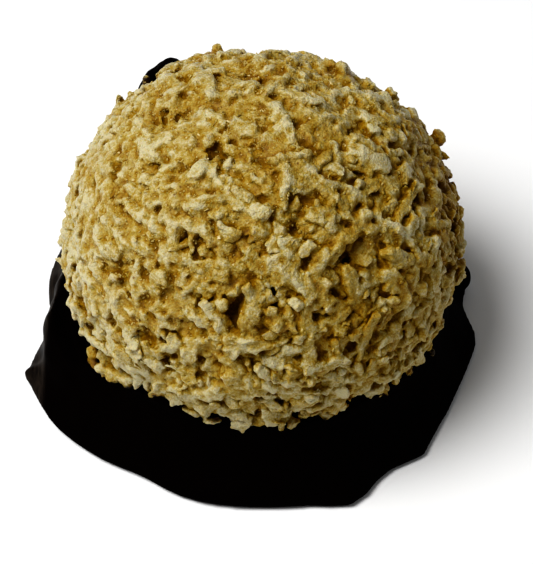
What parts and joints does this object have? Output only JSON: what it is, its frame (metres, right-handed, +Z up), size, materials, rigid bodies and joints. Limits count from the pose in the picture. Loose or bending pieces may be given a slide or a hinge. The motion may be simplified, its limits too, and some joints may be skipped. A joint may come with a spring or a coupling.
{
  "type": "coconut macaroon",
  "caption": "Round baked coconut macaroon with a shredded crust, its base dipped in dark chocolate that has run out into a wavy foot.",
  "frame": {"origin": "on the floor, at the middle of the chocolate foot's outline", "axes": "+Z up, -Y towards the front, +X to the right seen from the front"},
  "size_m": [0.0561, 0.0556, 0.0414],
  "materials": {
    "baked_coconut": "matte, rough shreds, browned",
    "dark_chocolate": "satin"
  },
  "bodies": {
    "root": {"coconut_ball": "baked_coconut", "chocolate_base": "dark_chocolate"}
  },
  "joints": []
}
